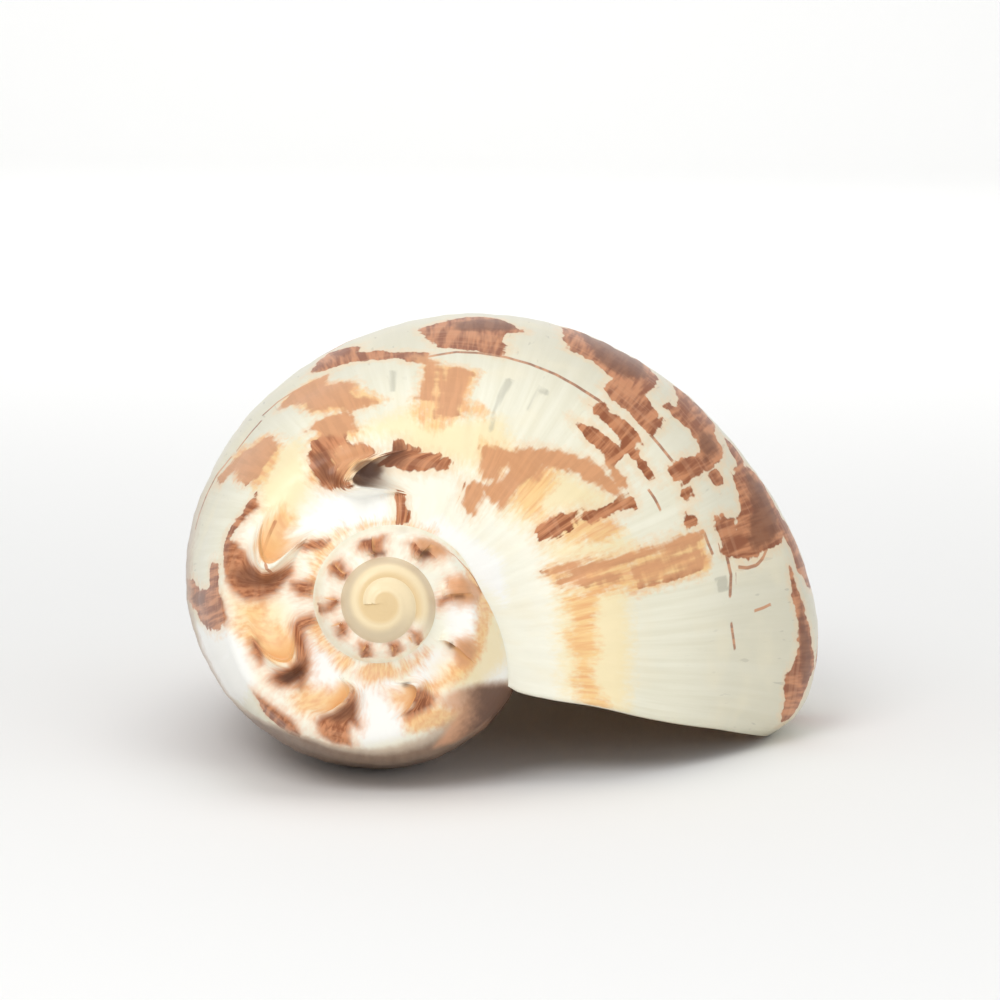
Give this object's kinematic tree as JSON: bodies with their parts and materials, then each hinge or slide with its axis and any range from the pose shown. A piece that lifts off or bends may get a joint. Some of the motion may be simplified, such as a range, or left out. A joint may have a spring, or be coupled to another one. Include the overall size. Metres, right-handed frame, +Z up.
{
  "type": "melon shell",
  "caption": "Large coiled sea shell with a domed apex, a crown of hollow scales on the shoulder, a wide body whorl and a long open mouth.",
  "frame": {"origin": "centre of the shell's bounding box on the floor it lies on, mouth down", "axes": "+Y from the apex to the front end of the mouth, +Z up, -Y towards the viewer of the apex, +X towards the outer lip"},
  "size_m": [0.1598, 0.2332, 0.1062],
  "materials": {
    "melon_shell": "glossy cream and brown shell"
  },
  "bodies": {
    "root": {"melon_shell": "melon_shell"}
  },
  "joints": []
}
